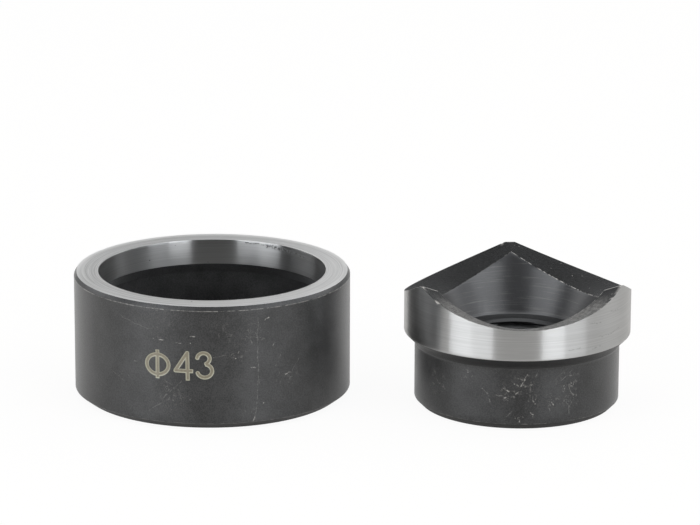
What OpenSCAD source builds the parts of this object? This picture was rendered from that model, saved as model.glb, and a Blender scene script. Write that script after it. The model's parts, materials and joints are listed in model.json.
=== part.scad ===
// Round punch and die of a draw-stud knockout set, stood side by side on their feet.
// The die is a turned cup. The punch is a turned blank with a notched cutting crown.
// A threaded draw stud, which is not part of the pair, pulls the punch down into the die.

/* [Cut size] */
// Diameter of the hole that the pair cuts, ground on the punch's cutting band
cut_d = 43; // [40:0.5:46]
// Gap all round between the cutting band and the die's cutting land
cut_clearance = 0.15; // [0.05:0.01:0.3]
// Outside diameter of the draw stud's thread
stud_d = 19.05; // [17:0.05:20]
// Depth of the thread cut in the punch, from its root to its crest
thread_depth = 0.78; // [0.5:0.01:1]
// Gap all round between the draw stud and the plain hole in the die
stud_clearance = 0.4; // [0.2:0.05:1]

/* [Die] */
// Wall from the cutting land out to the die's outer face
die_wall = 4.7; // [3:0.1:6]
// Height of the die
die_h = 23.9; // [20:0.1:28]
// Width of the bevel round the die's top face
die_rim_w = 0.5; // [0.2:0.05:1]
// Height of the bevel round the die's top face
die_rim_h = 0.7; // [0.2:0.05:1.5]
// Width of the bevel round the die's foot
die_foot_w = 1.75; // [0.5:0.05:2.5]
// Height of the bevel round the die's foot
die_foot_h = 1.3; // [0.5:0.05:2.5]
// Height of the ground cutting land at the mouth of the cup
land_h = 4.9; // [3:0.1:7]
// Step out from the cutting land to the relief below it, where slugs fall free
relief_step = 0.8; // [0.4:0.05:1.5]
// Height of the short taper between the land and the relief
relief_taper_h = 1.8; // [0.8:0.1:3]
// Thickness of the web that the stud passes through
die_web = 7.5; // [5:0.1:10]
// Radius in the corner between the relief and the web
web_fillet = 1.2; // [0.5:0.1:2]
// Bevel at both ends of the die's stud hole
die_hole_bevel = 0.6; // [0.3:0.1:1]

/* [Punch body] */
// Height of the punch, over the blunt tips of its crown
punch_h = 25.35; // [24:0.05:28]
// Diameter of the blackened hub below the cutting band
hub_d = 38.9; // [36:0.1:39.5]
// Height of the cutting band's lower edge above the foot
band_z = 14.15; // [12:0.05:16]
// Slope of the shoulder under the cutting band, from level
shoulder_slope = 45; // [30:1:55]
// Radius between the shoulder and the hub
neck_fillet = 1.5; // [0.5:0.1:2.5]
// Size of the bevel round the punch's foot
punch_foot = 1.2; // [0.3:0.1:2]
// Height of the hollow's floor above the foot
hollow_floor_z = 13.4; // [11:0.1:15]
// Wall left between the hollow and the cutting band at the tips
tip_wall = 3.05; // [2.5:0.05:4]
// Taper of the hollow's wall, from upright
hollow_taper = 26; // [20:1:28]
// Width of the countersink at both ends of the thread
thread_mouth_w = 1.05; // [0.5:0.05:1.5]
// Slope of that countersink, from level
thread_mouth_slope = 30; // [20:1:45]

/* [Cutting crown] */
// Number of notches, and so of cutting tips
notch_count = 3; // [3:1:4]
// Bearing of the first notch, from the row of the pair
notch_start = -88; // [-180:1:180]
// Depth of each notch below the tips, at the cutting band
notch_depth = 4.95; // [4:0.05:5.5]
// Extra depth of the first notch, which is ground a little deeper
first_notch_extra = 0.45; // [0:0.05:0.8]
// Fall of a notch's floor from the cutting band in to the hollow
notch_fall = 13; // [8:1:15]
// Half of the angle of the cone that each notch follows
notch_half_angle = 59; // [56:1:62]
// Distance of that cone's point from the punch's axis
notch_point_out = 3.25; // [1:0.25:5]

/* [Layout] */
// Gap between the die and the punch, along their row
set_gap = 10.25; // [4:0.25:40]
// Distance that the punch stands forward of the die
punch_forward = 6.25; // [0:0.25:20]

/* [Hidden] */
$fn = 96;
// Overrun of every cut past the face that it opens
over = 1;

cut_r = cut_d / 2;
hub_r = hub_d / 2;
land_r = cut_r + cut_clearance;
relief_r = land_r + relief_step;
die_r = land_r + die_wall;
die_hole_r = stud_d / 2 + stud_clearance;
thread_r = stud_d / 2 - thread_depth;

// The row is centred on the origin both ways, and stands on the ground plane
row_w = 2 * die_r + set_gap + 2 * cut_r;
die_x = -row_w / 2 + die_r;
punch_x = row_w / 2 - cut_r;
front_reach = max(die_r, cut_r + punch_forward);
back_reach = max(die_r, cut_r - punch_forward);
die_y = (front_reach - back_reach) / 2;
punch_y = die_y - punch_forward;

// The corner where the shoulder's slope meets the hub, and its fillet's tangent length
shoulder_z = band_z - (cut_r - hub_r) * tan(shoulder_slope);
neck_run = neck_fillet / tan((90 + shoulder_slope) / 2);

hollow_mouth_r = cut_r - tip_wall;
hollow_floor_r = hollow_mouth_r - (punch_h - hollow_floor_z) * tan(hollow_taper);
thread_mouth_r = thread_r + thread_mouth_w;
thread_mouth_h = thread_mouth_w * tan(thread_mouth_slope);

// Height of a notch cone's point, so that its floor meets the band at the notch's depth
notch_point_z = punch_h - notch_depth - (cut_r - notch_point_out) * tan(notch_fall);
// A cone this long ends well above the tips
notch_cone_h = punch_h;

// A straight-sided ring cut, wider by a bevel where it passes each face
module beveled_hole(r, low_z, high_z, bevel_w, bevel_h) {
    slope = bevel_w / bevel_h;
    translate([0, 0, low_z - over]) cylinder(h = high_z - low_z + 2 * over, r = r);
    translate([0, 0, low_z - over])
        cylinder(h = bevel_h + over, r1 = r + bevel_w + over * slope, r2 = r);
    translate([0, 0, high_z - bevel_h])
        cylinder(h = bevel_h + over, r1 = r, r2 = r + bevel_w + over * slope);
}

// Half of the die's outer outline, solid to the axis
module die_blank_outline() {
    polygon([
        [0, 0],
        [die_r - die_foot_w, 0],
        [die_r, die_foot_h],
        [die_r, die_h - die_rim_h],
        [die_r - die_rim_w, die_h],
        [0, die_h]
    ]);
}

// Half of the cup: land, taper and relief, with a round corner at the web
module die_cup_outline() {
    land_z = die_h - land_h;
    difference() {
        polygon([
            [0, die_web],
            [relief_r, die_web],
            [relief_r, land_z - relief_taper_h],
            [land_r, land_z],
            [land_r, die_h + over],
            [0, die_h + over]
        ]);
        difference() {
            translate([relief_r - web_fillet, die_web]) square(web_fillet);
            translate([relief_r - web_fillet, die_web + web_fillet]) circle(r = web_fillet);
        }
    }
}

module die() {
    color([0.27, 0.27, 0.27])
        translate([die_x, die_y, 0])
            difference() {
                rotate_extrude() die_blank_outline();
                rotate_extrude() die_cup_outline();
                beveled_hole(die_hole_r, 0, die_web, die_hole_bevel, die_hole_bevel);
            }
}

// Half of the punch's outer outline, with the fillet under the shoulder
module punch_blank_outline() {
    neck_z = shoulder_z - neck_run;
    polygon([
        [0, 0],
        [hub_r - punch_foot, 0],
        [hub_r, punch_foot],
        [hub_r, shoulder_z],
        [cut_r, band_z],
        [cut_r, punch_h],
        [0, punch_h]
    ]);
    difference() {
        polygon([
            [hub_r, shoulder_z],
            [hub_r, neck_z],
            [hub_r + neck_fillet, neck_z],
            [hub_r + neck_run * cos(shoulder_slope), shoulder_z + neck_run * sin(shoulder_slope)]
        ]);
        translate([hub_r + neck_fillet, neck_z]) circle(r = neck_fillet);
    }
}

// The tapered hollow inside the crown, open at the tips
module hollow() {
    rise = punch_h - hollow_floor_z;
    translate([0, 0, hollow_floor_z])
        cylinder(
            h = rise + over,
            r1 = hollow_floor_r,
            r2 = hollow_mouth_r + over * tan(hollow_taper)
        );
}

// One notch: a cone on its point, leaned out so that its lowest line is the notch's floor
module notch(extra) {
    lean = 90 - notch_fall - notch_half_angle;
    translate([notch_point_out, 0, notch_point_z - extra])
        rotate([0, lean, 0])
            cylinder(h = notch_cone_h, r1 = 0, r2 = notch_cone_h * tan(notch_half_angle));
}

module punch() {
    color([0.62, 0.62, 0.61])
        translate([punch_x, punch_y, 0])
            difference() {
                rotate_extrude() punch_blank_outline();
                hollow();
                beveled_hole(thread_r, 0, hollow_floor_z, thread_mouth_w, thread_mouth_h);
                for (i = [0 : notch_count - 1])
                    rotate([0, 0, notch_start + i * 360 / notch_count])
                        notch(i == 0 ? first_notch_extra : 0);
            }
}

die();
punch();
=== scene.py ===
"""The looks of a 43 mm knockout punch and die: ground and blackened steel, on a pale table."""
import json
import math

import bmesh
import bpy
import numpy as np
from mathutils import Matrix, Vector


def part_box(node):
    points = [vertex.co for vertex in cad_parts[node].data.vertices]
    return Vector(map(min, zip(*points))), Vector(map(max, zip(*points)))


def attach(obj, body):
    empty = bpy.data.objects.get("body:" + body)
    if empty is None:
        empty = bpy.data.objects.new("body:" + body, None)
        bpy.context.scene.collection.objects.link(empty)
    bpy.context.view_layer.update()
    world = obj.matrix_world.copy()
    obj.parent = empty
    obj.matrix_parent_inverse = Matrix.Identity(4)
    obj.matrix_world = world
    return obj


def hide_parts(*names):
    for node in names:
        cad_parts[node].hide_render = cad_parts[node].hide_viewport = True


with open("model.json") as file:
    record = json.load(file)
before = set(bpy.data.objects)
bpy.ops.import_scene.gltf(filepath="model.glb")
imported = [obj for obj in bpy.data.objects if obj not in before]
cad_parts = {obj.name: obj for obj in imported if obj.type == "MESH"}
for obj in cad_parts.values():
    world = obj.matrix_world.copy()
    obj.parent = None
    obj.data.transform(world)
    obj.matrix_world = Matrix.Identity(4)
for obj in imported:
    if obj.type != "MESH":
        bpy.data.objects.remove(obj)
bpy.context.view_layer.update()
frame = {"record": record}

# Die
# The real die is one turned steel cup, hardened and blackened in an oxide bath. Its top face and the
# cutting land inside its mouth are then ground bright. Its size mark is etched shallow into the
# blackened wall.

MM = 0.001
mounts = {m["name"]: m for m in frame["record"]["mounts"]}
die_low, die_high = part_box("die")
die_axis = Vector(mounts["cutting_land"]["pos_m"]).xy.to_3d()
die_r = (die_high.x - die_low.x) / 2 / MM
die_h = die_high.z / MM
land_r = mounts["cutting_land"]["dims"]["r_mm"]
land_h = mounts["cutting_land"]["dims"]["length_mm"]
stud_hole_r = mounts["die_stud_hole"]["dims"]["r_mm"]
relief_step = 0.8
relief_r = land_r + relief_step
relief_taper_h = 1.8
web = 7.5
web_fillet = 1.2
rim_w, rim_h = 0.5, 0.7
foot_bevel_w, foot_bevel_h = 1.75, 1.3
stud_hole_bevel = 0.6
sharp_edge = math.radians(38)
# A distance that counts as nowhere near a line or an edge
far = 9.0

# The size mark, in arc length along the wall from its front and in height
mark_stroke = 0.72
mark_depth = 0.12
mark_flank_in, mark_flank_out = 0.08, 0.02
mark_low, mark_high = 9.2, 15.8
mark_left, mark_right = -12.8, 1.9
mark_grid = 0.1


def arc(centre, radii, start, end, steps=28):
    """Points on an ellipse's arc, from one angle to another, in degrees."""
    turns = np.radians(np.linspace(start, end, steps))
    return np.c_[centre[0] + radii[0] * np.cos(turns), centre[1] + radii[1] * np.sin(turns)]


MARK_STROKES = [
    arc((-9.63, 12.37), (2.2, 1.92), 0, 360),
    [(-9.63, 15.2), (-9.63, 9.68)],
    [(-2.77, 11.5), (-6.1, 11.5), (-3.85, 15.0), (-3.75, 9.68)],
    arc((-0.8, 13.97), (1.15, 1.07), 182, -72),
    arc((-0.58, 11.6), (1.38, 1.27), 82, -170),
]


def distance_to_strokes(arc_mm, z_mm, strokes):
    """How far each point of the wall is from the nearest stroke's centre line. Strokes end flat."""
    point = np.stack([arc_mm, z_mm], axis=-1)
    nearest = np.full(arc_mm.shape, far)
    for stroke in strokes:
        stroke = np.array(stroke)
        open_ended = not np.allclose(stroke[0], stroke[-1])
        for i, (start, end) in enumerate(zip(stroke[:-1], stroke[1:])):
            run = end - start
            length = np.linalg.norm(run)
            reach = (point - start) @ run / length
            foot = np.clip(reach, 0, length)[..., None] * run / length
            gap = np.linalg.norm(point - start - foot, axis=-1)
            if i == 0 and open_ended:
                gap = np.maximum(gap, mark_stroke / 2 - reach)
            if i == len(stroke) - 2 and open_ended:
                gap = np.maximum(gap, mark_stroke / 2 + reach - length)
            nearest = np.minimum(nearest, gap)
    return nearest


def smooth_step(low, high, value):
    """0 up to low, 1 from high on, and a smooth rise between them."""
    t = np.clip((value - low) / (high - low), 0, 1)
    return t * t * (3 - 2 * t)


def outline(corners):
    """Points (r, z, zone) of a closed turned outline. Each corner is (r, z, round, zone, step): its
    round's radius, and the zone and point spacing of the stretch that follows it."""
    points = []
    count = len(corners)
    for i, (r, z, round_r, zone, step) in enumerate(corners):
        here = np.array([r, z])
        before = np.array(corners[i - 1][:2]) - here
        after = np.array(corners[(i + 1) % count][:2]) - here
        after_round = corners[(i + 1) % count][2]
        before /= np.linalg.norm(before)
        full = np.linalg.norm(after)
        after /= full
        half = math.acos(max(-1, min(1, before @ after))) / 2
        leave = round_r / math.tan(half) if round_r else 0
        if round_r:
            middle = here + (before + after) / np.linalg.norm(before + after) * round_r / math.sin(half)
            for t in np.linspace(0, 1, 4)[:-1]:
                spoke = (1 - t) * (here + before * leave) + t * (here + after * leave) - middle
                points.append((*(middle + spoke / np.linalg.norm(spoke) * round_r), zone))
        start = here + after * leave
        next_corner = np.array(corners[(i + 1) % count][:2])
        following = np.array(corners[(i + 2) % count][:2]) - next_corner
        following /= np.linalg.norm(following)
        next_half = math.acos(max(-1, min(1, -after @ following))) / 2
        stop = next_corner - after * (after_round / math.tan(next_half) if after_round else 0)
        pieces = max(1, round(np.linalg.norm(stop - start) / step))
        for t in np.arange(pieces) / pieces:
            points.append((*(start + (stop - start) * t), zone))
    return points


def join_rings(lower, upper):
    """Faces between two rings of vertex numbers. One ring may have 2, 3 or more times the other's
    points."""
    if len(lower) < len(upper):
        return [face[::-1] for face in join_rings(upper, lower)]
    share = len(lower) // len(upper)
    faces = []
    for i in range(len(upper)):
        j = (i + 1) % len(upper)
        fine = [lower[(i * share + k) % len(lower)] for k in range(share + 1)]
        faces.append(fine + [upper[j], upper[i]])
    return faces


def steel_mesh(name, rings, zones, materials, attributes=()):
    """A closed mesh from rings of points, each joined to the next and the last to the first."""
    numbers, total = [], 0
    for ring in rings:
        numbers.append(list(range(total, total + len(ring))))
        total += len(ring)
    faces, face_zones = [], []
    for i, zone in enumerate(zones):
        new = join_rings(numbers[i], numbers[(i + 1) % len(numbers)])
        faces += new
        face_zones += [zone] * len(new)
    mesh = bpy.data.meshes.new(name)
    mesh.from_pydata(np.concatenate(rings).tolist(), [], faces)
    for material in materials:
        mesh.materials.append(material)
    mesh.polygons.foreach_set("material_index", face_zones)
    for attribute, values in attributes:
        layer = mesh.attributes.new(attribute, "FLOAT", "POINT")
        layer.data.foreach_set("value", np.concatenate(values).astype(np.float32))
    shape = bmesh.new()
    shape.from_mesh(mesh)
    bmesh.ops.recalc_face_normals(shape, faces=shape.faces)
    shape.to_mesh(mesh)
    shape.free()
    mesh.shade_smooth()
    mesh.set_sharp_from_angle(angle=sharp_edge)
    piece = bpy.data.objects.new(name, mesh)
    bpy.context.scene.collection.objects.link(piece)
    return piece


def linear(hex_colour):
    """An sRGB hex colour as linear RGBA."""
    channels = [int(hex_colour[i:i + 2], 16) / 255 for i in (1, 3, 5)]
    return [c / 12.92 if c <= 0.04045 else ((c + 0.055) / 1.055) ** 2.4 for c in channels] + [1.0]


def new_material(name):
    """A material with only its output, and its node tree."""
    material = bpy.data.materials.new(name)
    material.use_nodes = True
    material.node_tree.nodes.clear()
    return material, material.node_tree


def node(tree, kind, inputs=(), out=0, **settings):
    """Adds a node with its settings and links, and gives one output socket. An input is a value or a
    socket."""
    made = tree.nodes.new(kind)
    for setting, value in settings.items():
        setattr(made, setting, value)
    for key, value in dict(inputs).items():
        if isinstance(value, bpy.types.NodeSocket):
            tree.links.new(value, made.inputs[key])
        else:
            made.inputs[key].default_value = value
    return made.outputs[out] if made.outputs else made


def in_mm(tree):
    """The piece's own coordinates, in millimetres."""
    place = node(tree, "ShaderNodeTexCoord", out="Object")
    return node(tree, "ShaderNodeVectorMath", {0: place, 1: (1 / MM,) * 3}, operation="MULTIPLY")


def unrolled(tree, place, wall_r):
    """A round wall laid flat, in mm: arc length from its front, height, and distance from the axis."""
    x = node(tree, "ShaderNodeSeparateXYZ", {0: place}, out="X")
    y = node(tree, "ShaderNodeSeparateXYZ", {0: place}, out="Y")
    z = node(tree, "ShaderNodeSeparateXYZ", {0: place}, out="Z")
    back = node(tree, "ShaderNodeMath", {0: y, 1: -1.0}, operation="MULTIPLY")
    turn = node(tree, "ShaderNodeMath", {0: x, 1: back}, operation="ARCTAN2")
    arc_mm = node(tree, "ShaderNodeMath", {0: turn, 1: wall_r}, operation="MULTIPLY")
    flat = node(tree, "ShaderNodeCombineXYZ", {"X": x, "Y": y})
    r = node(tree, "ShaderNodeVectorMath", {0: flat}, out="Value", operation="LENGTH")
    return arc_mm, z, r


def turned_lines(tree, place, along, across, detail=3.0):
    """Noise drawn out into tool lines round the axis. along is how many start in a millimetre of their
    length, and across how many lie in a millimetre side by side. Real turning leaves 5 to 10 and
    grinding over 50, which are too fine to show in the render, so they are drawn 2 to 4.5 to the
    millimetre."""
    _, z, r = unrolled(tree, place, 1.0)
    flat = node(tree, "ShaderNodeVectorMath", {0: place, 1: (1, 1, 0)}, operation="MULTIPLY")
    level = node(tree, "ShaderNodeMath", {0: r, 1: z}, operation="ADD")
    lift = node(tree, "ShaderNodeCombineXYZ", {"Z": level})
    lifted = node(tree, "ShaderNodeVectorMath", {0: flat, 1: lift})
    drawn = node(tree, "ShaderNodeVectorMath", {0: lifted, 1: (along, along, across)}, operation="MULTIPLY")
    return node(tree, "ShaderNodeTexNoise", {
        "Vector": drawn, "Scale": 1.0, "Detail": detail, "Roughness": 0.6})


def specks(tree, place, spacing, size, share):
    """Small round specks: 1 on a speck. share is the part of the cells, spacing mm wide, that hold
    one."""
    cells = node(tree, "ShaderNodeVectorMath", {0: place, 1: (1 / spacing,) * 3}, operation="MULTIPLY")
    gap = node(tree, "ShaderNodeTexVoronoi", {"Vector": cells, "Scale": 1.0}, out="Distance")
    chance = node(tree, "ShaderNodeTexVoronoi", {"Vector": cells, "Scale": 1.0}, out="Color")
    draw = node(tree, "ShaderNodeSeparateXYZ", {0: chance}, out="X")
    kept = node(tree, "ShaderNodeMath", {0: draw, 1: share}, operation="LESS_THAN")
    draw = node(tree, "ShaderNodeSeparateXYZ", {0: chance}, out="Y")
    width = node(tree, "ShaderNodeMath", {0: draw, 1: size / spacing}, operation="MULTIPLY")
    inside = node(tree, "ShaderNodeMapRange", {
        "Value": node(tree, "ShaderNodeMath", {0: gap, 1: width}, operation="SUBTRACT"),
        "From Min": 0.0, "From Max": 0.3 * size / spacing, "To Min": 1.0, "To Max": 0.0})
    return node(tree, "ShaderNodeMath", {0: inside, 1: kept}, operation="MULTIPLY")


def scuffs(tree, place, patches, size, width):
    """Curly hair-thin scuffs, where a bent noise crosses its middle value, inside round patches. A patch
    is its centre and its radius, and size is about the width of a curl, all in millimetres."""
    swirl = node(tree, "ShaderNodeTexNoise", {
        "Vector": place, "Scale": 1 / size, "Detail": 3.0, "Roughness": 0.6, "Distortion": 1.2})
    off_line = node(tree, "ShaderNodeMath", {
        0: node(tree, "ShaderNodeMath", {0: swirl, 1: 0.5}, operation="SUBTRACT")}, operation="ABSOLUTE")
    line = node(tree, "ShaderNodeMapRange", {
        "Value": off_line, "From Min": width * 0.3, "From Max": width, "To Min": 1.0, "To Max": 0.0})
    broken = node(tree, "ShaderNodeMapRange", {
        "Value": node(tree, "ShaderNodeTexNoise", {"Vector": place, "Scale": 1.1, "Detail": 2.0}),
        "From Min": 0.5, "From Max": 0.62})
    nearest = far
    for centre, radius in patches:
        gap = node(tree, "ShaderNodeVectorMath", {0: place, 1: centre}, out="Value", operation="DISTANCE")
        share = node(tree, "ShaderNodeMath", {0: gap, 1: radius}, operation="DIVIDE")
        nearest = node(tree, "ShaderNodeMath", {0: nearest, 1: share}, operation="MINIMUM")
    here = node(tree, "ShaderNodeMapRange", {
        "Value": nearest, "From Min": 0.35, "From Max": 1.1, "To Min": 1.0, "To Max": 0.0})
    thin = node(tree, "ShaderNodeMath", {0: line, 1: broken}, operation="MULTIPLY")
    return node(tree, "ShaderNodeMath", {0: thin, 1: here}, operation="MULTIPLY")


def scratches(tree, place, wall_r, strokes, width):
    """Scratches along given strokes of a round wall, each a list of (arc, height) points in millimetres.
    Noise bends them by up to 0.4 mm and breaks them."""
    arc_mm, z, _ = unrolled(tree, place, wall_r)
    flat = node(tree, "ShaderNodeCombineXYZ", {"X": arc_mm, "Y": z})
    shake = node(tree, "ShaderNodeTexNoise", {"Vector": place, "Scale": 0.9, "Detail": 4.0}, out="Color")
    shift = node(tree, "ShaderNodeVectorMath", {0: shake, 1: (0.5,) * 3}, operation="SUBTRACT")
    push = node(tree, "ShaderNodeVectorMath", {0: shift, 1: (0.8, 0.8, 0)}, operation="MULTIPLY")
    bent = node(tree, "ShaderNodeVectorMath", {0: flat, 1: push})
    nearest = far
    for stroke in strokes:
        for start, end in zip(stroke[:-1], stroke[1:]):
            start = Vector((*start, 0))
            run = Vector((*end, 0)) - start
            from_start = node(tree, "ShaderNodeVectorMath", {0: bent, 1: start}, operation="SUBTRACT")
            along = node(tree, "ShaderNodeVectorMath", {0: from_start, 1: run / run.length_squared},
                         out="Value", operation="DOT_PRODUCT")
            kept = node(tree, "ShaderNodeClamp", {"Value": along})
            foot = node(tree, "ShaderNodeVectorMath", {0: run, "Scale": kept}, operation="SCALE")
            gap = node(tree, "ShaderNodeVectorMath", {0: from_start, 1: foot},
                       out="Value", operation="DISTANCE")
            nearest = node(tree, "ShaderNodeMath", {0: nearest, 1: gap}, operation="MINIMUM")
    line = node(tree, "ShaderNodeMapRange", {
        "Value": nearest, "From Min": width * 0.2, "From Max": width, "To Min": 1.0, "To Max": 0.0})
    broken = node(tree, "ShaderNodeMapRange", {
        "Value": node(tree, "ShaderNodeTexNoise", {"Vector": place, "Scale": 2.2, "Detail": 3.0}),
        "From Min": 0.38, "From Max": 0.6})
    return node(tree, "ShaderNodeMath", {0: line, 1: broken}, operation="MULTIPLY")


def worn_edge(tree, place, height, at, width, broken):
    """A thin broken line of bare steel along a turned edge. broken is the share of it that is
    missing."""
    off_line = node(tree, "ShaderNodeMath", {
        0: node(tree, "ShaderNodeMath", {0: height, 1: at}, operation="SUBTRACT")}, operation="ABSOLUTE")
    line = node(tree, "ShaderNodeMapRange", {
        "Value": off_line, "From Min": width * 0.4, "From Max": width, "To Min": 1.0, "To Max": 0.0})
    chance = node(tree, "ShaderNodeTexNoise", {
        "Vector": place, "Scale": 0.8, "Detail": 5.0, "Roughness": 0.65})
    gaps = node(tree, "ShaderNodeMapRange", {
        "Value": chance, "From Min": broken - 0.08, "From Max": broken + 0.12})
    return node(tree, "ShaderNodeMath", {0: line, 1: gaps}, operation="MULTIPLY")


def strongest(tree, *masks):
    """The highest of some masks. Each is a socket, or a pair of a socket and its strength."""
    best = 0.0
    for mask in masks:
        if isinstance(mask, tuple):
            mask = node(tree, "ShaderNodeMath", {0: mask[0], 1: mask[1]}, operation="MULTIPLY")
        best = node(tree, "ShaderNodeMath", {0: best, 1: mask}, operation="MAXIMUM")
    return best


def black_oxide(tree, place, skin, roughness, ior, drawn, bare, lines, line_bump, dark=0.0, etched=0.0,
                etch=(0, 0, 0, 1), sheen=0.0):
    """The shader of blackened steel, oiled: a thin dark skin with a satin sheen, a little blurred across
    its tool lines. bare is 1 where wear shows the steel, and in the front notch also where a highlight is
    painted as bare steel; dark is 1 in a pit, and etched is 1 in a mark of the etch colour. The IOR starts
    from 1.5, for the oil over the oxide, and is matched to each surface. Sheen is the haze of the oxide's
    fine crystals. Clouds in the skin are 4.5 mm wide. Its crystals, a few thousandths of a millimetre wide,
    are drawn as grain of 0.25 mm so that they show."""
    cloud = node(tree, "ShaderNodeTexNoise", {
        "Vector": place, "Scale": 0.22, "Detail": 5.0, "Roughness": 0.6})
    grain = node(tree, "ShaderNodeTexNoise", {
        "Vector": place, "Scale": 4.0, "Detail": 4.0, "Roughness": 0.7})
    half_cloud = node(tree, "ShaderNodeMath", {0: cloud, 1: 0.5}, operation="MULTIPLY")
    mottle = node(tree, "ShaderNodeMapRange", {
        "Value": node(tree, "ShaderNodeMath", {0: half_cloud, 1: grain}, operation="ADD"),
        "From Min": 0.63, "From Max": 0.88})
    tone = node(tree, "ShaderNodeMix", {
        "Factor": mottle, "A": linear(skin[0]), "B": linear(skin[1])}, out=2, data_type="RGBA")
    tone = node(tree, "ShaderNodeMix", {
        "Factor": dark, "A": tone, "B": linear("#060606")}, out=2, data_type="RGBA")
    tone = node(tree, "ShaderNodeMix", {
        "Factor": bare, "A": tone, "B": linear("#e8e4dd")}, out=2, data_type="RGBA")
    tone = node(tree, "ShaderNodeMix", {"Factor": etched, "A": tone, "B": etch}, out=2, data_type="RGBA")
    shine = node(tree, "ShaderNodeMapRange", {
        "Value": cloud, "From Min": 0.3, "From Max": 0.7, "To Min": roughness[0], "To Max": roughness[1]})
    line_relief = node(tree, "ShaderNodeMath", {0: lines, 1: line_bump}, operation="MULTIPLY")
    grain_relief = node(tree, "ShaderNodeMath", {0: grain, 1: 3.0}, operation="MULTIPLY")
    relief = node(tree, "ShaderNodeMath", {0: line_relief, 1: grain_relief}, operation="ADD")
    sunk = node(tree, "ShaderNodeMath", {0: relief, 1: dark}, operation="SUBTRACT")
    bump = node(tree, "ShaderNodeBump", {"Height": sunk, "Strength": 0.3, "Distance": 0.02 * MM})
    shader = node(tree, "ShaderNodeBsdfPrincipled", {
        "Base Color": tone, "Metallic": bare, "IOR": ior, "Roughness": shine, "Normal": bump,
        "Anisotropic": drawn, "Anisotropic Rotation": 0.25, "Sheen Weight": sheen, "Sheen Roughness": 0.4,
        "Tangent": node(tree, "ShaderNodeTangent", direction_type="RADIAL", axis="Z")})
    node(tree, "ShaderNodeOutputMaterial", {"Surface": shader})


def ground_steel(tree, place, colour, roughness, drawn, stain, stain_colour, light=0.0):
    """The shader of ground tool steel: bright, with fine grinding lines round its axis. drawn is how
    much they blur a lamp into an upright bar. stain is 1 where the stain colour covers the steel: residue,
    and on the die's face also painted shade. light is 1 where the colour is lightened, which on the die's
    face is a painted highlight and a painted reflection."""
    lines = turned_lines(tree, place, 0.05, 4.5)
    cloud = turned_lines(tree, place, 0.25, 0.6)
    streaks = node(tree, "ShaderNodeMapRange", {"Value": lines, "From Min": 0.3, "From Max": 0.7})
    tone = node(tree, "ShaderNodeMix", {
        "Factor": streaks, "A": linear(colour[0]), "B": linear(colour[1])}, out=2, data_type="RGBA")
    tone = node(tree, "ShaderNodeMix", {
        "Factor": light, "A": tone, "B": linear("#f6f6f5")}, out=2, data_type="RGBA")
    tone = node(tree, "ShaderNodeMix", {
        "Factor": stain, "A": tone, "B": linear(stain_colour)}, out=2, data_type="RGBA")
    shine = node(tree, "ShaderNodeMapRange", {
        "Value": cloud, "From Min": 0.3, "From Max": 0.7, "To Min": roughness[0], "To Max": roughness[1]})
    bump = node(tree, "ShaderNodeBump", {"Height": lines, "Strength": 0.06, "Distance": 0.02 * MM})
    clean = node(tree, "ShaderNodeMath", {0: 1.0, 1: stain}, operation="SUBTRACT")
    shader = node(tree, "ShaderNodeBsdfPrincipled", {
        "Base Color": tone, "Metallic": clean, "Roughness": shine, "Normal": bump,
        "Anisotropic": drawn, "Anisotropic Rotation": 0.25,
        "Tangent": node(tree, "ShaderNodeTangent", direction_type="RADIAL", axis="Z")})
    node(tree, "ShaderNodeOutputMaterial", {"Surface": shader})


def wall_point(wall_r, arc_mm, z):
    """A point of a round wall, from its arc length from the front and its height."""
    return (wall_r * math.sin(arc_mm / wall_r), -wall_r * math.cos(arc_mm / wall_r), z)


# Black oxide on the turned steel of the die: near black and satin, with bare lines along its worn edges,
# scuffs from other tools at its front, a few pits, and the pale etched mark
die_black, tree = new_material("black_oxide_on_turned_die")
place = in_mm(tree)
_, z, r = unrolled(tree, place, die_r)
die_lines = turned_lines(tree, place, 0.08, 3.0)
outside = node(tree, "ShaderNodeMath", {0: r, 1: (die_r + relief_r) / 2}, operation="GREATER_THAN")
patches = [(wall_point(die_r, s, h), size) for s, h, size in (
    (8.9, 18.2, 3.6), (6.0, 15.1, 3.0), (-7.5, 6.4, 3.8), (7.8, 3.0, 2.4), (3.0, 19.0, 3.0),
    (-16.5, 9.6, 2.4), (15.5, 9.4, 3.0), (-9.5, 20.2, 4.0))]
faint = scratches(tree, place, die_r, [
    [(9.5, 21.4), (9.4, 16.2), (9.55, 10.9), (9.3, 5.5), (8.9, 1.8)], [(9.9, 10.0), (9.6, 8.4)],
    [(-4.9, 9.6), (-8.4, 6.1)], [(-8.9, 5.1), (-11.7, 3.0)], [(-8.0, 9.4), (-5.4, 7.7)],
    [(6.9, 3.4), (8.2, 3.3)], [(14.2, 14.1), (13.1, 11.6)], [(18.2, 12.3), (16.4, 9.8)],
    [(1.0, 14.1), (3.4, 14.6)],
    [(-20.0, 9.5), (-18.0, 8.6)], [(-17.5, 20.6), (-12.0, 19.2)], [(8.0, 17.9), (10.8, 17.4)]], 0.1)
strong = scratches(tree, place, die_r, [
    [(8.55, 1.6), (8.8, 2.6)], [(-3.17, 18.22), (-2.33, 18.29)], [(-9.3, 17.1), (-8.46, 17.19)],
    [(10.9, 20.8), (11.6, 21.3)], [(-5.9, 16.8), (-5.0, 16.85)], [(5.6, 14.6), (5.8, 15.0)],
    [(8.1, 12.0), (8.9, 11.8)], [(15.2, 9.7), (15.9, 10.1)], [(-14.5, 12.3), (-13.8, 12.4)],
    [(12.4, 15.8), (12.9, 16.2)]], 0.11)
bare = strongest(
    tree, (worn_edge(tree, place, z, die_h - rim_h - 0.1, 0.11, 0.47), 0.3),
    (worn_edge(tree, place, z, foot_bevel_h, 0.12, 0.5), 0.12), (faint, 0.12), (strong, 0.45),
    (scuffs(tree, place, patches, 1.3, 0.02), 0.14), (specks(tree, place, 1.7, 0.13, 0.12), 0.4))
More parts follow.
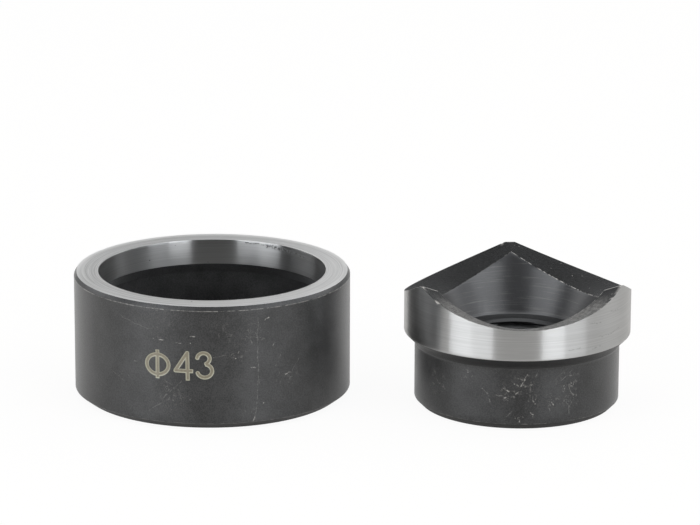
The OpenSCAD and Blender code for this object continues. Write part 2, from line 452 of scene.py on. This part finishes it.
bare = node(tree, "ShaderNodeMath", {0: bare, 1: outside}, operation="MULTIPLY")
pits = specks(tree, place, 1.3, 0.14, 0.16)
mark_gap = node(tree, "ShaderNodeAttribute", out="Fac", attribute_name="mark_gap")
mark_noise = node(tree, "ShaderNodeTexNoise", {"Vector": place, "Scale": 2.5, "Detail": 3.0})
in_mark = node(tree, "ShaderNodeMapRange", {
    "Value": mark_gap, "From Min": 0.34, "From Max": 0.42, "To Min": 1.0, "To Max": 0.0})
in_core = node(tree, "ShaderNodeMapRange", {
    "Value": mark_gap, "From Min": 0.16, "From Max": 0.28, "To Min": 1.0, "To Max": 0.0})
core_tone = node(tree, "ShaderNodeMix", {
    "Factor": mark_noise, "A": linear("#6c6454"), "B": linear("#928b77")}, out=2, data_type="RGBA")
mark_tone = node(tree, "ShaderNodeMix", {
    "Factor": in_core, "A": linear("#aaa793"), "B": core_tone}, out=2, data_type="RGBA")
black_oxide(tree, place, ("#101010", "#363636"), (0.36, 0.42), 1.6, 0.6, bare, die_lines, 0.5, pits, in_mark,
            mark_tone, sheen=0.4)

# Ground tool steel on the die's top face: bright and even, with a few dark pits. Light is painted on it: the
# outer edge is lighter at the back, a painted reflection of the backdrop; the right side is lighter, a
# painted highlight; and the back inside that edge is a little darker, painted shade.
face_bright, tree = new_material("ground_tool_steel_on_die_face")
place = in_mm(tree)
_, _, r = unrolled(tree, place, land_r)
backward = node(tree, "ShaderNodeMapRange", {
    "Value": node(tree, "ShaderNodeSeparateXYZ", {0: place}, out="Y"), "From Min": -9.0, "From Max": 3.0})
# Painted reflection: the outer edge is lightened at the back, standing in for the backdrop it mirrors.
margin = node(tree, "ShaderNodeMapRange", {"Value": r, "From Min": 24.3, "From Max": 25.6})
painted_edge_reflection = node(tree, "ShaderNodeMath", {0: margin, 1: backward}, operation="MULTIPLY")
# Painted highlight: the right side is lightened. Painted shade: the back is darkened inside the edge.
painted_right_highlight = node(tree, "ShaderNodeMapRange", {
    "Value": node(tree, "ShaderNodeSeparateXYZ", {0: place}, out="X"), "From Min": 2.0, "From Max": 23.0})
towards_back = node(tree, "ShaderNodeMapRange", {
    "Value": node(tree, "ShaderNodeSeparateXYZ", {0: place}, out="Y"), "From Min": 4.0, "From Max": 14.0})
off_edge = node(tree, "ShaderNodeMath", {0: 1.0, 1: painted_edge_reflection}, operation="SUBTRACT")
painted_back_shade = node(tree, "ShaderNodeMath", {0: towards_back, 1: off_edge}, operation="MULTIPLY")
ground_steel(tree, place, ("#aeaead", "#e2e2e1"), (0.4, 0.46), 0.0,
             strongest(tree, (specks(tree, place, 1.6, 0.15, 0.12), 0.7), (painted_back_shade, 0.16)), "#1a1816",
             strongest(tree, (painted_edge_reflection, 0.75), (painted_right_highlight, 0.4)))

# Ground tool steel on the cutting land: bright, drawing the lamps into upright bars, with a trace of
# black residue left at its back
land_bright, tree = new_material("ground_tool_steel_on_land")
place = in_mm(tree)
residue = strongest(
    tree, (scratches(tree, place, land_r, [[(51.5, 22.9), (53.5, 23.1), (57.5, 23.3)]], 0.5), 0.9),
    (scratches(tree, place, land_r, [[(58.2, 23.4), (62.0, 23.5)], [(47.0, 22.6), (50.5, 22.9)]], 0.2), 0.8))
ground_steel(tree, place, ("#b4b4b3", "#c4c4c3"), (0.28, 0.3), 1.0,
             strongest(tree, residue, (specks(tree, place, 1.6, 0.15, 0.12), 0.7)), "#1a1816")

# Black oxide on the bevel of the foot: a matt, dimmer copy without sheen, painted shade for the shadowed
# floor close under the foot that the down-facing bevel mirrors
foot_black_painted_shade, tree = new_material("black_oxide_on_foot_bevel")
place = in_mm(tree)
foot_lines = turned_lines(tree, place, 0.08, 3.0)
black_oxide(tree, place, ("#171716", "#282725"), (0.48, 0.58), 1.45, 0.0, 0.0, foot_lines, 0.4)

# The turned outline, from the stud hole's lower edge round the outside and back through the cup: each
# corner's radius, height and rounding, and the material and point spacing of the stretch after it
BLACK, FACE, LAND, FOOT = range(4)
die_corners = [
    (stud_hole_r + stud_hole_bevel, 0, 0.1, BLACK, 3.0),
    (die_r - foot_bevel_w, 0, 0.15, FOOT, 0.4),
    (die_r, foot_bevel_h, 0.15, BLACK, 1.0),
    (die_r, mark_low, 0, BLACK, mark_grid),
    (die_r, mark_high, 0, BLACK, 0.8),
    (die_r, die_h - rim_h, 0.1, BLACK, 0.4),
    (die_r - rim_w, die_h, 0.06, FACE, 0.5),
    (land_r, die_h, 0.06, LAND, 0.5),
    (land_r, die_h - land_h, 0.04, BLACK, 0.5),
    (relief_r, die_h - land_h - relief_taper_h, 0.1, BLACK, 1.2),
    (relief_r, web, web_fillet, BLACK, 2.0),
    (stud_hole_r + stud_hole_bevel, web, 0.1, BLACK, 0.4),
    (stud_hole_r, web - stud_hole_bevel, 0.1, BLACK, 1.5),
    (stud_hole_r, stud_hole_bevel, 0.1, BLACK, 0.4),
]
die_outline = outline(die_corners)

# Points lie close together across the mark, and 300 of them share the rest of the way round
mark_turns = np.arange(mark_left, mark_right, mark_grid) / die_r
other_turns = np.linspace(mark_right / die_r, mark_left / die_r + 2 * math.pi, 300, endpoint=False)
die_turns = np.concatenate([mark_turns, other_turns])

die_rings, die_gaps = [], []
for r, z, zone in die_outline:
    on_wall = abs(r - die_r) < 1e-6
    gap = np.full(die_turns.shape, far)
    if on_wall:
        arc_mm = (die_turns + math.pi) % (2 * math.pi) * die_r - math.pi * die_r
        gap = distance_to_strokes(arc_mm, np.full(arc_mm.shape, z), MARK_STROKES)
    flank = smooth_step(mark_stroke / 2 - mark_flank_in, mark_stroke / 2 + mark_flank_out, gap)
    ring_r = (r - mark_depth * (1 - flank)) * MM
    ring_z = np.full(gap.shape, z * MM)
    # Turn zero is at the front of the piece, towards -Y
    die_rings.append(np.c_[ring_r * np.sin(die_turns), -ring_r * np.cos(die_turns), ring_z])
    die_gaps.append(gap)

die_piece = steel_mesh("die_cup", die_rings, [zone for r, z, zone in die_outline],
                       [die_black, face_bright, land_bright, foot_black_painted_shade], [("mark_gap", die_gaps)])
die_piece.location = die_axis
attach(die_piece, "die")
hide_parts("die")

# Punch
# The real punch is one steel blank: turned, threaded for the draw stud, notched three times to leave
# cutting tips, hardened, blackened all over, and last ground bright round its cutting band.

punch_low, punch_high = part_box("punch")
punch_axis = Vector(mounts["stud_thread"]["pos_m"]).xy.to_3d()
cut_r = (punch_high.x - punch_low.x) / 2 / MM
punch_h = punch_high.z / MM
thread_r = mounts["stud_thread"]["dims"]["r_mm"]
hub_step = 2.05
hub_r = cut_r - hub_step
band_z = 14.15
shoulder_slope = math.radians(45)
neck_fillet = 1.5
punch_foot_bevel = 1.2
hollow_floor_z = 13.4
hollow_taper = math.radians(26)
tip_wall = 3.05
hollow_mouth_r = cut_r - tip_wall
hollow_floor_r = hollow_mouth_r - (punch_h - hollow_floor_z) * math.tan(hollow_taper)
thread_mouth_w = 1.05
thread_mouth_slope = math.radians(30)
thread_pitch = 25.4 / 16
thread_depth = 0.78

# The notches: bearings from the row of the pair, and the shape of the cone that each follows
notch_bearings = np.radians([-88, 32, 152])
notch_depths = np.array([5.4, 4.95, 4.95])
notch_fall = math.radians(13)
notch_half_angle = math.radians(59)
notch_point_out = 3.25
edge_bevel = 0.03

# Nicks along the crown's outer edge: bearing, depth and width of each
nicks = [(223.4, 0.32, 0.9), (231, 0.08, 0.4), (243, 0.07, 0.4), (262, 0.08, 0.4), (271, 0.12, 0.45),
         (277, 0.07, 0.4), (281.5, 0.16, 0.5), (296, 0.08, 0.4), (305, 0.12, 0.5), (310, 0.08, 0.4),
         (314, 0.16, 0.45), (318.5, 0.12, 0.5), (323, 0.2, 0.5), (327.5, 0.12, 0.45), (208, 0.12, 0.5),
         (96, 0.08, 0.5)]


def notch_height(r, turn, which=(0, 1, 2)):
    """Height of the notches over a point of the punch: the lowest of their three cones."""
    height = np.full(np.broadcast(r, turn).shape, 2 * punch_h)
    lean = math.pi / 2 - notch_fall - notch_half_angle
    for bearing, depth in zip(notch_bearings[list(which)], notch_depths[list(which)]):
        point_z = punch_h - depth - (cut_r - notch_point_out) * math.tan(notch_fall)
        x = r * np.cos(turn - bearing) - notch_point_out
        y = r * np.sin(turn - bearing)
        a = math.cos(lean) ** 2 - math.cos(notch_half_angle) ** 2
        b = 2 * x * math.sin(lean) * math.cos(lean)
        c = (x * math.sin(lean)) ** 2 - math.cos(notch_half_angle) ** 2 * (x * x + y * y)
        height = np.minimum(height, point_z + (np.sqrt(b * b - 4 * a * c) - b) / (2 * a))
    return height


def crown_height(r, turn):
    """Height of the crown: the notches, and the blunt tips between them."""
    return np.minimum(notch_height(r, turn), punch_h)


def front_border(r, turn):
    """About how far a point of the crown is from the border of the front notch, in millimetres."""
    return np.abs(notch_height(r, turn, [0]) - np.minimum(notch_height(r, turn, [1, 2]), punch_h))


def nick_depth(turn):
    """Depth of the nicks in the crown's outer edge, where it has struck other steel."""
    depth = np.zeros(turn.shape)
    for bearing, deep, wide in nicks:
        away = (turn - math.radians(bearing) + math.pi) % (2 * math.pi) - math.pi
        depth = np.maximum(depth, deep * np.exp(-(2 * away * cut_r / wide) ** 2))
    return depth


# Points round a ring, and rings up each stretch, close enough for its shape. The thread has fewer points
# round, and the other rings have a whole number of times as many.
punch_turns = np.linspace(0, 2 * math.pi, 720, endpoint=False)
thread_turns = np.linspace(0, 2 * math.pi, 180, endpoint=False)
hub_rings, neck_rings, band_rings, crown_rings, hollow_rings, thread_rings = 10, 7, 18, 24, 18, 110

# Inner edge of the crown, where the notches meet the hollow, found in passes that each come closer
inner_r = np.full(punch_turns.shape, hollow_mouth_r)
for _ in range(40):
    inner_r = hollow_floor_r + (crown_height(inner_r, punch_turns) - hollow_floor_z) * math.tan(hollow_taper)
inner_z = crown_height(inner_r, punch_turns)
nicked = nick_depth(punch_turns)

# The outer edge is worn bright beside the left tip and the right one
bearings = np.degrees(punch_turns)
rubbed_edge = smooth_step(178, 186, bearings) * smooth_step(216, 211, bearings)
rubbed_edge += smooth_step(324, 330, bearings) * smooth_step(352, 345, bearings)
# A nick this deep shows bare steel
full_nick = 0.1
edge_wear = np.maximum(np.clip(nicked / full_nick, 0, 1), 0.8 * rubbed_edge)
outer_z = crown_height(np.full(punch_turns.shape, cut_r), punch_turns) - nicked

PUNCH_BLACK, PUNCH_BAND, PUNCH_CROWN, PUNCH_HOLLOW, PUNCH_THREAD, PUNCH_FOOT, PUNCH_SHOULDER = range(7)
punch_rings, punch_zones, punch_burrs, punch_ridges, punch_nicks = [], [], [], [], []


def add_ring(turns, r, z, zone, burr=far, ridge=far, nick=0.0):
    """One ring of the punch, and the zone of the faces from it to the next one. burr and ridge are
    distances to the inner edge and to the front notch's border, and nick is 1 where a nick shows the
    steel."""
    ring_r = np.broadcast_to(r, turns.shape) * MM
    ring_z = np.broadcast_to(z, turns.shape) * MM
    punch_rings.append(np.c_[ring_r * np.cos(turns), ring_r * np.sin(turns), ring_z])
    punch_zones.append(zone)
    punch_burrs.append(np.broadcast_to(burr, turns.shape))
    punch_ridges.append(np.broadcast_to(ridge, turns.shape))
    punch_nicks.append(np.broadcast_to(nick, turns.shape))


# Foot and hub, the round neck and the shoulder, all blackened
shoulder_z = band_z - (cut_r - hub_r) * math.tan(shoulder_slope)
neck_run = neck_fillet / math.tan((math.pi / 2 + shoulder_slope) / 2)
slope_start = 0.2
add_ring(punch_turns, hub_r - punch_foot_bevel - 0.06, 0, PUNCH_BLACK)
add_ring(punch_turns, hub_r - punch_foot_bevel + 0.05, 0.05, PUNCH_FOOT)
add_ring(punch_turns, hub_r - 0.05, punch_foot_bevel - 0.05, PUNCH_BLACK)
for z in np.linspace(punch_foot_bevel + 0.06, shoulder_z - neck_run, hub_rings):
    add_ring(punch_turns, hub_r, z, PUNCH_BLACK)
for angle in np.linspace(0, shoulder_slope, neck_rings)[1:]:
    r = hub_r + neck_fillet * (1 - math.cos(angle))
    z = shoulder_z - neck_run + neck_fillet * math.sin(angle)
    add_ring(punch_turns, r, z, PUNCH_SHOULDER if angle > shoulder_slope / 3 else PUNCH_BLACK)
for t in (0.35, 0.7):
    share = slope_start + (1 - slope_start) * t
    r = hub_r + (cut_r - hub_r) * share
    z = shoulder_z + (band_z - shoulder_z) * share
    add_ring(punch_turns, r, z, PUNCH_SHOULDER)
add_ring(punch_turns, cut_r - 0.05, band_z - 0.05, PUNCH_BAND)

# Cutting band, up to the crown's outer edge
band_low = band_z + 0.05
for t in np.linspace(0, 1, band_rings)[:-1]:
    add_ring(punch_turns, cut_r, band_low + t * (outer_z - edge_bevel - band_low), PUNCH_BAND)
add_ring(punch_turns, cut_r, outer_z - edge_bevel, PUNCH_CROWN, nick=edge_wear)

# Cut faces of the crown, from the outer edge in to the hollow. Nicks reach in 0.6 mm, and the wear
# beside them 0.8.
nick_reach, wear_reach = 0.6, 0.8
for t in np.linspace(0, 1, crown_rings):
    r = cut_r - edge_bevel - t * (cut_r - inner_r - 2 * edge_bevel)
    nick = nicked * np.clip(1 - (cut_r - r) / nick_reach, 0, 1)
    worn = edge_wear * np.clip(1 - (cut_r - r) / wear_reach, 0, 1)
    add_ring(punch_turns, r, crown_height(r, punch_turns) - nick, PUNCH_CROWN, r - inner_r,
             front_border(r, punch_turns), np.maximum(np.clip(nick / full_nick, 0, 1), worn))

# Tapered hollow, down to its floor
hollow_low = hollow_floor_z + 0.1
for t in np.linspace(1, 0, hollow_rings):
    z = hollow_low + t * (inner_z - edge_bevel - hollow_low)
    r = hollow_floor_r + (z - hollow_floor_z) * math.tan(hollow_taper)
    add_ring(punch_turns, r, z, PUNCH_HOLLOW, inner_z - z)
add_ring(punch_turns, hollow_floor_r - 0.08, hollow_floor_z, PUNCH_THREAD)

# Threaded hole: a right-hand helix, cut into by a countersink at each end
thread_mouth_h = thread_mouth_w * math.tan(thread_mouth_slope)
for z in np.linspace(hollow_floor_z, 0, thread_rings):
    turn_part = (z / thread_pitch - thread_turns / (2 * math.pi)) % 1
    groove = np.clip(1.25 * (1 - np.abs(2 * turn_part - 1)) - 0.125, 0, 1)
    from_face = min(z, hollow_floor_z - z)
    mouth = thread_r + thread_mouth_w * (1 - from_face / thread_mouth_h)
    add_ring(thread_turns, np.maximum(thread_r + thread_depth * groove, mouth), z, PUNCH_THREAD)

# Black oxide on the turned steel of the hub: near black and satin, with curly scuffs at its front, from
# other tools
hub_black, tree = new_material("black_oxide_on_turned_hub")
place = in_mm(tree)
_, z, r = unrolled(tree, place, hub_r)
on_hub = node(tree, "ShaderNodeMath", {0: r, 1: hub_r - 2.0}, operation="GREATER_THAN")
patches = [(wall_point(hub_r, s, h), size) for s, h, size in (
    (0.6, 9.2, 2.4), (-2.3, 7.4, 2.4), (2.6, 5.8, 1.6), (1.6, 3.3, 1.3), (-0.4, 2.2, 1.6), (9.2, 8.6, 3.0),
    (9.8, 5.5, 2.2), (6.2, 5.9, 1.8), (-10.4, 9.7, 1.6), (-17.5, 7.0, 2.8), (1.8, 8.0, 1.8))]
faint = scratches(tree, place, hub_r, [
    [(-7.3, 7.9), (-6.1, 6.9), (-5.7, 5.3)], [(-1.5, 3.6), (-3.4, 1.8)],
    [(7.5, 9.1), (9.2, 10.2), (10.5, 9.9)], [(9.4, 8.4), (9.8, 7.2), (10.6, 5.5), (9.7, 4.3), (9.4, 2.7)],
    [(3.4, 11.5), (2.8, 10.4)], [(1.8, 9.4), (1.7, 6.6)], [(-4.6, 6.8), (-3.3, 6.7)],
    [(-10.8, 9.9), (-10.0, 9.6)], [(5.4, 4.2), (5.6, 3.6)]], 0.14)
strong = scratches(tree, place, hub_r, [
    [(1.3, 10.9), (0.7, 9.8), (0.2, 8.9)], [(-1.4, 9.2), (-0.2, 8.6), (0.8, 8.9)], [(-0.5, 7.6), (-1.3, 6.6)],
    [(-3.2, 8.0), (-2.2, 7.6), (-1.6, 7.7)], [(-3.2, 6.2), (-2.2, 6.7)],
    [(2.5, 5.7), (2.8, 5.2)], [(1.8, 3.4), (2.2, 3.1)], [(0.0, 2.8), (0.4, 2.6)], [(-0.2, 1.9), (-0.1, 1.6)],
    [(5.9, 5.2), (6.1, 4.7)]], 0.15)
bare = strongest(
    tree, (worn_edge(tree, place, z, punch_foot_bevel, 0.14, 0.58), 0.2), (faint, 0.16), (strong, 0.5),
    (scuffs(tree, place, patches, 1.2, 0.026), 0.28), (specks(tree, place, 1.6, 0.14, 0.12), 0.35))
bare = node(tree, "ShaderNodeMath", {0: bare, 1: on_hub}, operation="MULTIPLY")
black_oxide(tree, place, ("#101010", "#343434"), (0.34, 0.42), 1.56, 0.6, bare,
            turned_lines(tree, place, 0.08, 3.0), 0.4, sheen=0.4)

# Black oxide on the shoulder: a darker copy of the hub's, without sheen, painted shade under the band, where
# the down-facing shoulder mirrors the shadowed floor at the hub's foot
shoulder_black_painted_shade, tree = new_material("black_oxide_on_shoulder")
place = in_mm(tree)
shoulder_lines = turned_lines(tree, place, 0.08, 3.0)
black_oxide(tree, place, ("#0a0a0a", "#191919"), (0.36, 0.42), 1.46, 0.0, 0.0, shoulder_lines, 0.4)

# Ground tool steel on the cutting band: bright, drawing the lamps into upright bars, with a few dark
# specks and scratches
band_bright, tree = new_material("ground_tool_steel_on_band")
place = in_mm(tree)
band_specks = specks(tree, place, 1.6, 0.14, 0.10)
band_scratches = scratches(tree, place, cut_r, [
    [(13.5, 20.2), (16.5, 19.9)], [(16.0, 17.2), (19.5, 17.0), (22.5, 17.6)], [(9.0, 15.6), (11.5, 15.9)],
    [(19.0, 21.5), (22.0, 21.2)], [(14.5, 15.2), (17.0, 15.3)]], 0.14)
stain = strongest(tree, (band_specks, 0.5), (band_scratches, 0.4))
ground_steel(tree, place, ("#b2b2b1", "#c2c2c1"), (0.3, 0.32), 1.0, stain, "#3a3836")

# Black oxide on the milled steel of the notches: matt and mottled, with a bare burr along the inner edge and
# bare steel in the nicks. Low in the front notch it is lightened towards bare steel, a painted highlight.
notch_black, tree = new_material("black_oxide_on_milled_notch")
place = in_mm(tree)
wear_noise = node(tree, "ShaderNodeTexNoise", {
    "Vector": place, "Scale": 1.3, "Detail": 5.0, "Roughness": 0.7})
broken = node(tree, "ShaderNodeMapRange", {"Value": wear_noise, "From Min": 0.44, "From Max": 0.58})
burr = node(tree, "ShaderNodeMapRange", {
    "Value": node(tree, "ShaderNodeAttribute", out="Fac", attribute_name="burr_gap"),
    "From Min": 0.05, "From Max": 0.16, "To Min": 1.0, "To Max": 0.0})
rightward = node(tree, "ShaderNodeMapRange", {
    "Value": node(tree, "ShaderNodeSeparateXYZ", {0: place}, out="X"),
    "From Min": -2.0, "From Max": 1.0, "To Min": 0.1, "To Max": 0.8})
burr = node(tree, "ShaderNodeMath", {0: burr, 1: broken}, operation="MULTIPLY")
burr = node(tree, "ShaderNodeMath", {0: burr, 1: rightward}, operation="MULTIPLY")
# Painted highlight: low in the front notch the steel is lightened towards bare, standing in for the light it
# catches.
frontward = node(tree, "ShaderNodeMapRange", {
    "Value": node(tree, "ShaderNodeSeparateXYZ", {0: place}, out="Y"),
    "From Min": -9.0, "From Max": -12.0, "To Min": 0.0, "To Max": 1.0})
deep = node(tree, "ShaderNodeMapRange", {
    "Value": node(tree, "ShaderNodeSeparateXYZ", {0: place}, out="Z"),
    "From Min": 23.9, "From Max": 22.3, "To Min": 0.1, "To Max": 1.0})
front_highlight_place = node(tree, "ShaderNodeMath", {0: frontward, 1: deep}, operation="MULTIPLY")
uneven = node(tree, "ShaderNodeMapRange", {
    "Value": wear_noise, "From Min": 0.35, "From Max": 0.65, "To Min": 0.03, "To Max": 0.27})
painted_front_highlight = node(tree, "ShaderNodeMath", {0: front_highlight_place, 1: uneven}, operation="MULTIPLY")
ridge = node(tree, "ShaderNodeMapRange", {
    "Value": node(tree, "ShaderNodeAttribute", out="Fac", attribute_name="ridge_gap"),
    "From Min": 0.06, "From Max": 0.2, "To Min": 1.0, "To Max": 0.0})
nick = node(tree, "ShaderNodeAttribute", out="Fac", attribute_name="nick")
# bare holds the burr, ridge, nicks and specks, which are wear, and the painted front highlight
bare = strongest(
    tree, burr, (ridge, 0.6), (nick, 0.5), painted_front_highlight, (specks(tree, place, 1.0, 0.12, 0.2), 0.3))
milled = node(tree, "ShaderNodeTexNoise", {"Vector": place, "Scale": 3.0, "Detail": 4.0, "Roughness": 0.7})
black_oxide(tree, place, ("#060606", "#252525"), (0.5, 0.62), 1.25, 0.0, bare, milled, 20.0, sheen=0.12)

# Black oxide on the tapered hollow: satin, with plain tool lines that catch the lamps
hollow_black, tree = new_material("black_oxide_on_turned_hollow")
place = in_mm(tree)
hollow_lines = turned_lines(tree, place, 0.14, 3.4, 5.0)
ridges = node(tree, "ShaderNodeMapRange", {"Value": hollow_lines, "From Min": 0.56, "From Max": 0.7})
bare = strongest(tree, (ridges, 0.12), (specks(tree, place, 1.5, 0.12, 0.08), 0.3))
black_oxide(tree, place, ("#151516", "#232325"), (0.36, 0.42), 2.05, 0.9, bare, hollow_lines, 2.0)

# Black oxide in the thread: darker, painted shade deep in the hole, and glossy, still wet with oil
thread_black_painted_shade, tree = new_material("black_oxide_on_cut_thread")
place = in_mm(tree)
thread_lines = turned_lines(tree, place, 0.1, 2.0)
black_oxide(tree, place, ("#0f0f0f", "#1c1c1c"), (0.3, 0.36), 1.58, 0.3, 0.0, thread_lines, 0.6)

punch_piece = steel_mesh(
    "punch_body", punch_rings, punch_zones,
    [hub_black, band_bright, notch_black, hollow_black, thread_black_painted_shade, foot_black_painted_shade, shoulder_black_painted_shade],
    [("burr_gap", punch_burrs), ("ridge_gap", punch_ridges), ("nick", punch_nicks)])
punch_piece.location = punch_axis
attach(punch_piece, "punch")
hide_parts("punch")

# Table
# A plain sheet of white paper that the pair stands on, wide enough to be seen all round from any side.
# It is stage, and no part of the object.

table_reach = 4
floor_mesh = bpy.data.meshes.new("table")
floor_corners = [(x * table_reach, y * table_reach, 0) for x, y in ((-1, -1), (1, -1), (1, 1), (-1, 1))]
floor_mesh.from_pydata(floor_corners, [], [(0, 1, 2, 3)])
floor = bpy.data.objects.new("table", floor_mesh)
bpy.context.scene.collection.objects.link(floor)

# Matt white paper: it gives the eye a clean ground with the pair's soft shadow. Seen directly it is
# nearly all white, and mirrored in the steel it is partly so. All other light finds it plain and pale.
paper, tree = new_material("matt_white_paper")
seen = node(tree, "ShaderNodeLightPath", out="Is Camera Ray")
mirrored = node(tree, "ShaderNodeLightPath", out="Is Glossy Ray")
through = node(tree, "ShaderNodeLightPath", out="Is Transmission Ray")
direct = node(tree, "ShaderNodeMath", {0: seen, 1: through}, operation="MAXIMUM")
lit = node(tree, "ShaderNodeBsdfDiffuse", {"Color": linear("#d0ccc6")})
white = node(tree, "ShaderNodeEmission", {"Color": linear("#ffffff"), "Strength": 1.04})
direct_share = node(tree, "ShaderNodeMath", {0: direct, 1: 0.9}, operation="MULTIPLY")
mirrored_share = node(tree, "ShaderNodeMath", {0: mirrored, 1: 0.42}, operation="MULTIPLY")
share = node(tree, "ShaderNodeMath", {0: direct_share, 1: mirrored_share}, operation="MAXIMUM")
sheet = node(tree, "ShaderNodeMixShader", {0: share, 1: lit, 2: white})
node(tree, "ShaderNodeOutputMaterial", {"Surface": sheet})
floor_mesh.materials.append(paper)

# Light
# Stands of soft boxes left and right of the camera, weaker ones at the sides, and a wide one overhead.
# The room is dark, with a lit sheet high up behind. Together they give a plain level, at which a colour
# renders about as it is written.


def soft_box(name, bearing, distance, height, size, radiance, down=0):
    """A rectangular soft lamp that faces the pair, tipped down by an angle in degrees. Bearing 0 is +X,
    and 90 is behind the pair. Sizes are in metres."""
    lamp = bpy.data.lights.new(name, "AREA")
    lamp.shape = "RECTANGLE"
    lamp.color = linear("#f8fbff")[:3]
    lamp.size, lamp.size_y = size
    lamp.energy = radiance * math.pi * size[0] * size[1]
    holder = bpy.data.objects.new(name, lamp)
    turn = math.radians(bearing)
    holder.location = (distance * math.cos(turn), distance * math.sin(turn), height)
    holder.rotation_euler = (math.radians(90 - down), 0, turn + math.pi / 2)
    bpy.context.scene.collection.objects.link(holder)


# Each stand: its bearing, its width, and the radiance of its low, middle and high box
stand_distance = 1.6
box_places = (("low", 0.01, 0.19), ("middle", 0.2, 0.9), ("high", 0.9, 2.2))
stands = (
    ("left_of_camera", 209.5, 0.64, (8.8, 2.4, 2.6)), ("near_camera", 232.5, 0.7, (8.2, 0.9, 2.0)),
    ("right_of_camera", 305, 0.66, (9.2, 1.9, 1.1)), ("far_right", 329, 0.6, (3.0, 1.3, 3.3)),
    ("right_side", 5, 1.5, (0.0, 0.6, 1.6)), ("right_back", 52, 0.9, (0.0, 0.0, 0.5)),
    ("left_side", 165, 1.1, (0.0, 0.7, 0.7)), ("left_back", 127, 1.0, (0.0, 0.0, 0.3)))
for name, bearing, width, radiances in stands:
    for (part, bottom, top), radiance in zip(box_places, radiances):
        if radiance:
            soft_box(f"soft_box_{name}_{part}", bearing, stand_distance, (bottom + top) / 2,
                     (width, top - bottom), radiance)
soft_box("soft_box_top", 90, 0.0, 1.8, (2.0, 2.0), 1.35, 90)

# The sheet behind the pair runs from about 20 to 40 degrees up, with soft edges
world = bpy.data.worlds.new("dark_room_with_white_backdrop")
bpy.context.scene.world = world
world.use_nodes = True
tree = world.node_tree
tree.nodes.clear()
towards = node(tree, "ShaderNodeTexCoord", out="Generated")
backward = node(tree, "ShaderNodeSeparateXYZ", {0: towards}, out="Y")
height = node(tree, "ShaderNodeSeparateXYZ", {0: towards}, out="Z")
behind = node(tree, "ShaderNodeMapRange", {"Value": backward, "From Min": 0.15, "From Max": 0.25})
over = node(tree, "ShaderNodeMapRange", {"Value": height, "From Min": 0.31, "From Max": 0.37})
under = node(tree, "ShaderNodeMapRange", {
    "Value": height, "From Min": 0.61, "From Max": 0.67, "To Min": 1.0, "To Max": 0.0})
between = node(tree, "ShaderNodeMath", {0: over, 1: under}, operation="MULTIPLY")
sheet = node(tree, "ShaderNodeMath", {0: behind, 1: between}, operation="MULTIPLY")
backdrop = node(tree, "ShaderNodeMapRange", {"Value": sheet, "To Min": 0.02, "To Max": 1.3})
room = node(tree, "ShaderNodeBackground", {"Color": linear("#ffffff"), "Strength": backdrop})
node(tree, "ShaderNodeOutputWorld", {"Surface": room})

# Camera
# It stands where the photo was taken from, in front and a little above, with a long lens. Its angle,
# reach and focal length come from a fit to the outlines of both pieces.

picture_w = 700
focal_px = 4086.065
camera_elevation = math.radians(15.482)
camera_roll = math.radians(0.183)
camera_reach = 0.874216
aim_point = Vector((-0.000319, 0.09199, 0))

forward = Vector((0, math.cos(camera_elevation), -math.sin(camera_elevation)))
level_up = Vector((1, 0, 0)).cross(forward)
right = math.cos(camera_roll) * Vector((1, 0, 0)) + math.sin(camera_roll) * level_up
up = right.cross(forward)
lens = bpy.data.cameras.new("camera")
lens.sensor_width = 36
lens.lens = focal_px * lens.sensor_width / picture_w
lens.clip_end = 20
camera = bpy.data.objects.new("camera", lens)
camera.matrix_world = Matrix.Translation(aim_point - forward * camera_reach) @ Matrix(
    (right, up, -forward)).transposed().to_4x4()
bpy.context.scene.collection.objects.link(camera)
bpy.context.scene.camera = camera
bpy.context.scene.view_settings.view_transform = "Standard"
